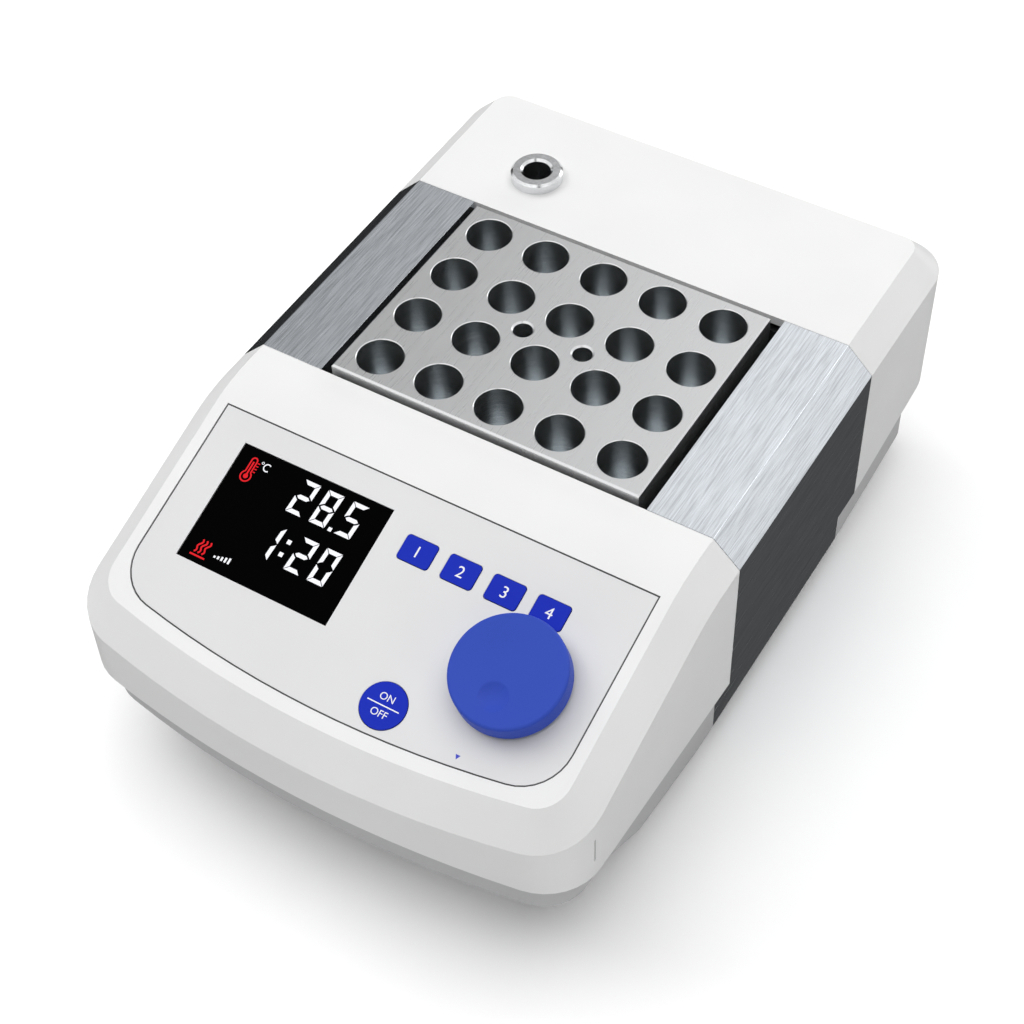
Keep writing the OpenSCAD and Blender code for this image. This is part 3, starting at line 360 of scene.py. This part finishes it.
# The finish of every node, by the material slot that the record gives it
FINISH = {
    "white_plastic": WHITE,
    "brushed_plate": PLATE,
    "tray_plastic": TRAY,
    "foot_rubber": RUBBER,
    "overlay_film": FILM,
    "display_glass": LENS,
    "module_plastic": moulded("module_plastic", (0.06, 0.06, 0.062), 0.5, spread=0.08, bump=0.12),
    "board_laminate": striped(
        "board_laminate", (0.012, 0.10, 0.035), 0.35, (2400, 2400, 900), depth=0.12
    ),
    "screw_steel": SCREW,
    "key_blue": KEY_BLUE,
    "black_plastic": BLACK,
    "zinc_body": machined("zinc_body", (0.58, 0.58, 0.6), 0.36, lines=(1500, 1500, 1500)),
    "shaft_metal": machined("shaft_metal", (0.60, 0.60, 0.62), 0.26, lines=(300, 300, 5200)),
    "dial_blue": DIAL_BLUE,
    "liner_plastic": LINER,
    "insulation_felt": striped(
        "insulation_felt", (0.66, 0.60, 0.46), 0.95, (900, 900, 2600), depth=0.8, distance=0.0002
    ),
    "heater_silicone": moulded(
        "heater_silicone", (0.50, 0.11, 0.025), 0.55, grain=1400.0, spread=0.08, bump=0.25
    ),
    "block_aluminium": BLOCK,
    "sensor_steel": machined(
        "sensor_steel", (0.62, 0.62, 0.64), 0.2, lines=(1600, 1600, 1600), depth=0.06
    ),
    "cutout_metal": machined("cutout_metal", (0.66, 0.52, 0.28), 0.32, lines=(1400, 1400, 1400)),
    "lead_sleeve": striped("lead_sleeve", (0.70, 0.70, 0.70), 0.6, (1800, 400, 1800), depth=0.25),
    "socket_steel": polished_socket("socket_steel", (0.72, 0.73, 0.74)),
    "transformer_wrap": striped(
        "transformer_wrap", (0.62, 0.42, 0.06), 0.5, (160, 160, 2200), depth=0.4
    ),
    "capacitor_sleeve": moulded(
        "capacitor_sleeve", (0.014, 0.022, 0.075), 0.28, grain=900.0, spread=0.06, bump=0.03
    ),
    "sink_aluminium": machined("sink_aluminium", (0.32, 0.32, 0.33), 0.42, lines=(2400, 2400, 60)),
    "terminal_green": moulded("terminal_green", (0.02, 0.20, 0.06), 0.45, spread=0.05, bump=0.1),
    "contact_metal": machined("contact_metal", (0.70, 0.67, 0.58), 0.24, lines=(1800, 60, 1800)),
    "rocker_red": moulded("rocker_red", (0.42, 0.02, 0.015), 0.32, grain=1900.0, bump=0.05),
    "ribbon_grey": striped("ribbon_grey", (0.26, 0.26, 0.27), 0.55, (2200, 60, 60), depth=0.6),
}


# ---- refined copies of CAD nodes --------------------------------------------


def record_slot(node):
    for row in frame["record"]["subparts"]:
        if row["node"] == node:
            return row["material_slot"]


def body_of(node):
    return NODES[node]["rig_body"]


def own_material(obj, mat):
    obj.data.materials.clear()
    obj.data.materials.append(mat)


def smooth(obj, degrees=35):
    """Smooth shading with hard edges above the angle."""
    for face in obj.data.polygons:
        face.use_smooth = True
    if hasattr(obj.data, "set_sharp_from_angle"):
        obj.data.set_sharp_from_angle(angle=math.radians(degrees))


def apply_modifiers(obj):
    """The evaluated mesh, modifiers included, becomes the object's own."""
    graph = bpy.context.evaluated_depsgraph_get()
    mesh = bpy.data.meshes.new_from_object(obj.evaluated_get(graph))
    obj.modifiers.clear()
    obj.data = mesh


SAME_PLACE = 2e-6  # metres
FLAT_ANGLE, BEND_ANGLE = 0.6, 70  # degrees


def refined(node, bevel=0.0, segments=3, angle=25, smooth_angle=35, bend=0.0, rejoin=True):
    """A copy of a CAD node with flat faces rejoined and its edges rounded. Where
    bend is given, the edges of sheet bends are rounded by it, the rest by bevel."""
    mesh = NODES[node].data.copy()
    obj = bpy.data.objects.new(node + "_skin", mesh)
    bpy.context.scene.collection.objects.link(obj)
    bm = bmesh.new()
    bm.from_mesh(mesh)
    bmesh.ops.remove_doubles(bm, verts=bm.verts, dist=SAME_PLACE)
    if rejoin:
        bmesh.ops.dissolve_limit(
            bm, angle_limit=math.radians(FLAT_ANGLE), verts=bm.verts, edges=bm.edges, delimit=set()
        )
    if bend:
        weight = bm.edges.layers.float.new("bevel_weight_edge")
        for line in bm.edges:
            turn = math.degrees(line.calc_face_angle(0.0))
            folded = turn < BEND_ANGLE and line.calc_length() > SHEET_T * 3 * MM
            line[weight] = 0.0 if turn < angle else 1.0 if folded else bevel / bend
    bm.to_mesh(mesh)
    bm.free()
    if "custom_normal" in mesh.attributes:
        mesh.attributes.remove(mesh.attributes["custom_normal"])
    if bevel:
        edge = obj.modifiers.new("edge", "BEVEL")
        edge.width = (bend or bevel) * MM
        edge.segments = segments
        edge.limit_method = "WEIGHT" if bend else "ANGLE"
        edge.angle_limit = math.radians(angle)
        apply_modifiers(obj)
    own_material(obj, FINISH[record_slot(node)])
    smooth(obj, smooth_angle)
    weigh = obj.modifiers.new("weigh", "WEIGHTED_NORMAL")
    weigh.keep_sharp = True
    weigh.weight = 100
    apply_modifiers(obj)
    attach(obj, body_of(node))
    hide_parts(node)
    return obj


def paint_nodes():
    """Every CAD node, the inner ones too, takes the finish of its slot."""
    for node, obj in NODES.items():
        for slot in obj.material_slots:
            slot.material = FINISH[record_slot(node)]


# ---- flat prints and lit shapes on the panel ---------------------------------


def flat_piece(name, loops, face, thick, mat, body):
    """Thin plates with the given outlines, laid on the panel at height face."""
    bm = bmesh.new()
    for loop in loops:
        low = [bm.verts.new((x * MM, v * MM, face * MM)) for x, v in loop]
        high = [bm.verts.new((x * MM, v * MM, (face + thick) * MM)) for x, v in loop]
        bm.faces.new(list(reversed(low)))
        bm.faces.new(high)
        for i in range(len(loop)):
            j = (i + 1) % len(loop)
            bm.faces.new((low[i], low[j], high[j], high[i]))
    bmesh.ops.recalc_face_normals(bm, faces=bm.faces)
    mesh = bpy.data.meshes.new(name)
    bm.to_mesh(mesh)
    bm.free()
    on_panel(name, mesh, mat, body)


def on_panel(name, mesh, mat, body):
    """Lays a mesh that is made in the panel's own coordinates on the panel."""
    mesh.transform(PANEL)
    obj = bpy.data.objects.new(name, mesh)
    bpy.context.scene.collection.objects.link(obj)
    own_material(obj, mat)
    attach(obj, body)


def ribbon(points, width, closed=False):
    """Quads of a line of constant width through the points."""
    quads, sides = [], []
    count = len(points)
    for i, (x, v) in enumerate(points):
        if closed:
            a, b = points[i - 1], points[(i + 1) % count]
        else:
            a, b = points[max(0, i - 1)], points[min(count - 1, i + 1)]
        d = Vector((b[0] - a[0], b[1] - a[1])).normalized() * (width / 2)
        sides.append(((x - d.y, v + d.x), (x + d.y, v - d.x)))
    for i in range(count if closed else count - 1):
        (a, b), (c, d) = sides[i], sides[(i + 1) % count]
        quads.append([a, b, d, c])
    return quads


def ring(cx, cy, r, count=24, start=0.0, sweep=360.0):
    step = sweep / count
    return [
        (
            cx + r * math.cos(math.radians(start + step * i)),
            cy + r * math.sin(math.radians(start + step * i)),
        )
        for i in range(count + (sweep < 360))
    ]


SEGMENTS = {
    "0": "abcdef", "1": "bc", "2": "abged", "3": "abgcd", "4": "fgbc",
    "5": "afgcd", "6": "afgedc", "7": "abc", "8": "abcdefg", "9": "abcdfg",
}


def digit(char, x, v, w=5.0, h=10.1, t=1.2, gap=0.14, lean=0.055):
    """Outlines of the lit bars of one numeral, x and v its upper left corner."""
    m = h / 2
    g = gap
    bars = {
        "a": [(g, h), (w - g, h), (w - t - g, h - t), (t + g, h - t)],
        "d": [(g, 0), (w - g, 0), (w - t - g, t), (t + g, t)],
        "f": [(0, h - g), (0, m + g), (t / 2, m + t * 0.45 + g), (t, m + t * 0.9), (t, h - t - g)],
        "e": [(0, g), (0, m - g), (t / 2, m - t * 0.45 - g), (t, m - t * 0.9), (t, t + g)],
        "g": [
            (t * 0.35 + g, m), (t + g * 0.4, m + t / 2), (w - t - g * 0.4, m + t / 2),
            (w - t * 0.35 - g, m), (w - t - g * 0.4, m - t / 2), (t + g * 0.4, m - t / 2),
        ],
    }
    bars["b"] = [(w - a, b) for a, b in bars["f"]]
    bars["c"] = [(w - a, b) for a, b in bars["e"]]
    return [
        [(x + a + b * lean - h * lean, v - h + b) for a, b in bars[name]]
        for name in SEGMENTS[char]
    ]


def square(cx, cy, size):
    h = size / 2
    return [(cx - h, cy - h), (cx + h, cy - h), (cx + h, cy + h), (cx - h, cy + h)]


CAPITAL_SHARE = 0.73  # height of a capital over the size of the font


def lettering(name, text, x, v, height, face, mat, body):
    """Plain numerals or a short word, centred at x, with its foot at v."""
    data = bpy.data.curves.new(name, "FONT")
    data.body = text
    data.align_x = "CENTER"
    data.size = height * MM / CAPITAL_SHARE
    data.extrude = 0.00001
    data.resolution_u = 6
    source = bpy.data.objects.new(name + "_source", data)
    bpy.context.scene.collection.objects.link(source)
    bpy.context.view_layer.update()
    graph = bpy.context.evaluated_depsgraph_get()
    mesh = bpy.data.meshes.new_from_object(source.evaluated_get(graph))
    bpy.data.objects.remove(source)
    mesh.transform(Matrix.Translation(Vector((x, v, face)) * MM))
    on_panel(name, mesh, mat, body)


def overlay_outline(grow):
    """The overlay's outline in the panel's own x and v, grown on every side."""
    half_w, r, bow = OVERLAY_HALF_W + grow, OVERLAY_CORNER_R + grow, OVERLAY_BOW_R + grow
    cx = OVERLAY_HALF_W - OVERLAY_CORNER_R
    bow_cy = OVERLAY_BOW_R - OVERLAY_LOW
    cy = bow_cy - math.sqrt((bow - r) ** 2 - cx * cx)
    a = math.degrees(math.atan2(cy - bow_cy, cx))
    return (
        [(-half_w, grow - OVERLAY_TOP)]
        + ring(-cx, cy, r, 8, 180, -a)
        + ring(0, bow_cy, bow, 14, -180 - a, 180 + 2 * a)
        + ring(cx, cy, r, 8, a, -a)
        + [(half_w, grow - OVERLAY_TOP)]
    )


def overlay_seal():
    """A near-black sheet laid in the groove round the overlay: painted shade where the groove is in
    shadow.
    """
    inner, outer = overlay_outline(0.03), overlay_outline(GROOVE - 0.03)
    quads = [
        [inner[i - 1], outer[i - 1], outer[i], inner[i]] for i in range(len(inner))
    ]
    flat_piece("overlay_seal", quads, 0.02 - RECESS, GROOVE_SHADE_THICK, GROOVE_SHADE, "base")


def display():
    """The lit numerals and signs, a little above the lens."""
    face = WINDOW_FACE + PRINT_LIFT
    bars = []
    for v, row in (
        (TOP_ROW_V, (("2", -34.6), ("8", -27.1), ("5", -19.1))),
        (LOW_ROW_V, (("1", -36.6), ("2", -26.2), ("0", -18.8))),
    ):
        for char, x in row:
            bars += digit(char, x, v)
    bars.append(square(-21.0, -43.0, 1.1))
    bars += [square(-29.15, -50.8, 1.25), square(-29.4, -54.7, 1.25)]
    flat_piece("display_numerals", bars, face, LIT_THICK, LIT_WHITE, "base")

    cx, low, high, stem, bulb = THERMOMETER
    foot = math.degrees(math.asin(stem / bulb))
    outline = ring(cx, high, stem, 8, 0, 180)
    outline += ring(cx, low, bulb, 18, 90 + foot, 360 - 2 * foot)
    shapes = ribbon(outline, 0.42, closed=True)
    shapes += ribbon([(cx, high - 0.3), (cx, low)], SIGN_LINE)
    shapes.append(ring(cx, low, FILLED_R, 16))
    for i in range(4):
        v = high - 0.3 - i * 0.9
        shapes += ribbon([(cx + stem + 0.35, v), (cx + stem + 1.1, v)], 0.3)
    for i in range(3):
        x0 = WAVES_X + i * WAVES_STEP
        wave = [(x0 + 0.32 * math.sin(k * 0.9) + k * 0.09, WAVES_V + k * 0.36) for k in range(12)]
        shapes += ribbon(wave, SIGN_LINE)
    shapes += ribbon([(-52.7, HOTPLATE_V), (-47.9, HOTPLATE_V)], SIGN_LINE)
    flat_piece("display_pictograms", shapes, face, LIT_THICK, LIT_RED, "base")

    unit = ribbon(ring(-48.0, -34.2, 0.32, 12), 0.16, closed=True)
    unit += ribbon(ring(-46.2, -35.0, 1.05, 14, 50, 260), 0.34)
    for i in range(5):
        bar = 0.6 + 0.28 * i
        near, far = BARS_X + i * BARS_STEP, BARS_X + BARS_WIDE + i * BARS_STEP
        unit.append([(near, BARS_V), (far, BARS_V), (far, BARS_V + bar), (near, BARS_V + bar)])
    flat_piece("display_unit", unit, face, LIT_THICK, LIT_WHITE, "base")


def key_prints():
    """Numerals on the square keys, two words and a bar on the round one."""
    face = KEY_FACE + PRINT_LIFT
    for number, x in enumerate(KEY_XS, 1):
        node = f"key_p{number}"
        lettering(
            f"{node}_numeral", str(number), x, KEY_V - NUMERAL_DROP, NUMERAL_TALL, face,
            PRINT, body_of(node),
        )
    body = body_of("run_stop_key")
    for name, word, rise in (("on_word", "ON", 1.25), ("off_word", "OFF", -3.2)):
        lettering(name, word, RUN_X, RUN_V + rise, WORD_TALL, face, PRINT, body)
    ends = [(RUN_X + side * RUN_BAR_HALF, RUN_V - 0.1) for side in (-1, 1)]
    bar = ribbon(ends, RUN_BAR_LINE)
    flat_piece("run_stop_bar", bar, KEY_FACE + 0.002, 0.02, PRINT, body)


def panel_marks():
    """The small triangle below the dial."""
    flat_piece("dial_mark", [DIAL_MARK], OVERLAY_FACE + 0.002, 0.015, MARK, "base")


# ---- refined copies with moved points ---------------------------------------


def eased_block():
    """The block with its outer edge and the wells' rims cut as finely as they look."""
    obj = refined("heating_block", smooth_angle=30, rejoin=False)
    outer, rim = BLOCK_BEVEL - BLOCK_EASED, WELL_BEVEL - WELL_EASED
    half = WELL_PITCH / 2
    for point in obj.data.vertices:
        x, y, z = (c / MM for c in point.co)
        y -= BLOCK_Y
        at_top, below = abs(z - BLOCK_TOP) < 0.01, BLOCK_TOP - z
        away = [(x + half) % WELL_PITCH - half, y % WELL_PITCH - half]
        apart = math.hypot(*away)
        if at_top and abs(apart - WELL_R - WELL_BEVEL) < 0.02:
            for i in (0, 1):
                point.co[i] -= away[i] / apart * rim * MM
        elif at_top:
            for i, place in enumerate((x, y)):
                if abs(abs(place) - BLOCK_HALF[i] + BLOCK_BEVEL) < 0.01:
                    point.co[i] += math.copysign(outer, place) * MM
        elif abs(below - WELL_BEVEL) < 0.01 and abs(apart - WELL_R) < 0.02:
            point.co.z += rim * MM
        elif abs(below - BLOCK_BEVEL) < 0.01:
            point.co.z += outer * MM


def deep_dimple():
    """The dial with its finger dimple as deep as its shading shows."""
    obj = refined("dial_knob", smooth_angle=40, rejoin=False)
    to_panel = PANEL.inverted()
    for point in obj.data.vertices:
        x, v, h = (c / MM for c in to_panel @ point.co)
        inside = math.hypot(x - DIAL_X, v - DIAL_V - DIMPLE_V) < DIMPLE_R
        if inside and DIAL_TOP - 0.75 < h < DIAL_TOP - 0.005:
            lower = (DIAL_TOP - h) * (DIMPLE_DEEPER - 1)
            point.co = PANEL @ (Vector((x, v, h - lower)) * MM)


# ---- assembly ------------------------------------------------------------------


def build():
    paint_nodes()
    for node in ("front_housing", "rear_housing"):
        refined(node, bevel=0.9, segments=4, angle=24, smooth_angle=50)
    refined("base_tray", bevel=0.4, segments=2, angle=30, smooth_angle=40)
    for node in ("side_plate_left", "side_plate_right"):
        refined(node, bevel=0.2, segments=4, bend=0.9)
    eased_block()
    deep_dimple()
    overlay_seal()
    display()
    key_prints()
    panel_marks()


build()

# ---- studio --------------------------------------------------------------------

HALF = 8.0  # of the floor, metres
floor_mesh = bpy.data.meshes.new("floor")
floor_mesh.from_pydata(
    [(-HALF, -HALF, 0), (HALF, -HALF, 0), (HALF, HALF, 0), (-HALF, HALF, 0)], [], [(0, 1, 2, 3)]
)
floor = bpy.data.objects.new("floor", floor_mesh)
bpy.context.scene.collection.objects.link(floor)
own_material(floor, moulded(
    "studio_floor", (0.97, 0.97, 0.97), 0.9, grain=40.0, spread=0.0, bump=0.0,
    Emission_Color=(1.0, 1.0, 1.0), Emission_Strength=0.04,
))
floor.visible_glossy = False


def softbox(name, place, aim, size, power):
    """An area light that metal does not mirror; place and aim in metres."""
    data = bpy.data.lights.new(name, "AREA")
    data.shape = "RECTANGLE"
    data.size, data.size_y = size
    data.energy = power
    obj = bpy.data.objects.new(name, data)
    obj.location = place
    obj.rotation_mode = "QUATERNION"
    obj.rotation_quaternion = (Vector(aim) - Vector(place)).to_track_quat("-Z", "Y")
    obj.visible_glossy = False
    bpy.context.scene.collection.objects.link(obj)


softbox("top_box", (-0.3, 0.3, 2.8), (0, 0, 0), (5.0, 5.0), 143.0)
LOW_BOX, HIGH_BOX, AIM = (1.8, 0.7), (1.2, 1.2), (0, 0, 0.05)
softbox("left_box", (-1.4, -0.2, 1.2), AIM, HIGH_BOX, 9.5)
softbox("right_box", (1.5, -0.1, 0.35), AIM, LOW_BOX, 5.2)
softbox("front_box", (0, -1.5, 0.35), AIM, LOW_BOX, 3.3)
softbox("rear_box", (0, 1.5, 0.35), AIM, LOW_BOX, 9.0)


def studio_world():
    """What the metal mirrors: a pale dome, dimmer behind at the left, dark below."""
    world = bpy.data.worlds.new("studio")
    world.use_nodes = True
    world.cycles_visibility.diffuse = False
    bpy.context.scene.world = world
    nt = world.node_tree
    background = nt.nodes["Background"]
    parts = nt.nodes.new("ShaderNodeSeparateXYZ")
    nt.links.new(nt.nodes.new("ShaderNodeTexCoord").outputs["Generated"], parts.inputs[0])

    def graded(value, stops):
        """Smooth steps through (place, brightness) stops over -1 to 1."""
        scaled = nt.nodes.new("ShaderNodeMapRange")
        scaled.inputs["From Min"].default_value = -1.0
        nt.links.new(value, scaled.inputs["Value"])
        ramp = nt.nodes.new("ShaderNodeValToRGB")
        ramp.color_ramp.interpolation = "EASE"
        elements = ramp.color_ramp.elements
        while len(elements) < len(stops):
            elements.new(0.5)
        for element, (place, level) in zip(elements, stops):
            element.position = place * 0.5 + 0.5
            element.color = (level, level, level, 1.0)
        nt.links.new(scaled.outputs["Result"], ramp.inputs["Fac"])
        return ramp.outputs["Color"]

    def blend(how, a, b, fac=None):
        made = nt.nodes.new("ShaderNodeMix")
        made.data_type = "RGBA"
        made.blend_type = how
        made.inputs[0].default_value = 1.0
        if fac is not None:
            nt.links.new(fac, made.inputs[0])
        nt.links.new(a, made.inputs[6])
        nt.links.new(b, made.inputs[7])
        return made.outputs[2]

    behind = graded(
        parts.outputs[0],
        [
            (-0.7, 0.28), (-0.45, 0.35), (-0.29, 1.02), (0.05, 1.15),
            (0.34, 3.2), (0.6, 1.0), (1.0, 0.85),
        ],
    )
    front = graded(
        parts.outputs[0],
        [(-1.0, 1.0), (0.0, 1.25), (0.28, 1.3), (0.42, 0.3), (0.56, 1.2), (1.0, 0.9)],
    )
    facing = graded(parts.outputs[1], [(-0.1, 1.0), (0.25, 0.0)])
    upward = graded(parts.outputs[2], [(-0.12, 0.03), (0.22, 1.0)])
    dome = blend("MULTIPLY", blend("MIX", behind, front, facing), upward)
    nt.links.new(dome, background.inputs["Color"])


studio_world()

# Camera solved from the well centres and the corners of the plates
CAMERA_PLACE = (209.483, -328.592, 487.997)
CAMERA_AZIMUTH, CAMERA_ELEVATION, CAMERA_ROLL = 33.022, 49.484, -2.356
FOCAL_PIXELS, FRAME_PIXELS, SENSOR = 2063.479, 1024.0, 36.0

az, el = math.radians(CAMERA_AZIMUTH), math.radians(CAMERA_ELEVATION)
back = Vector((math.sin(az) * math.cos(el), -math.cos(az) * math.cos(el), math.sin(el)))
right = Vector((math.cos(az), math.sin(az), 0))
up = back.cross(right)
roll = math.radians(CAMERA_ROLL)
right, up = (
    right * math.cos(roll) + up * math.sin(roll),
    up * math.cos(roll) - right * math.sin(roll),
)
lens = bpy.data.cameras.new("camera")
lens.sensor_width = SENSOR
lens.lens = FOCAL_PIXELS / FRAME_PIXELS * SENSOR
lens.clip_start, lens.clip_end = 0.01, 20.0
camera = bpy.data.objects.new("camera", lens)
camera.matrix_world = Matrix((right, up, back)).transposed().to_4x4()
camera.location = Vector(CAMERA_PLACE) * MM
bpy.context.scene.collection.objects.link(camera)
bpy.context.scene.camera = camera
bpy.context.scene.view_settings.view_transform = "Standard"
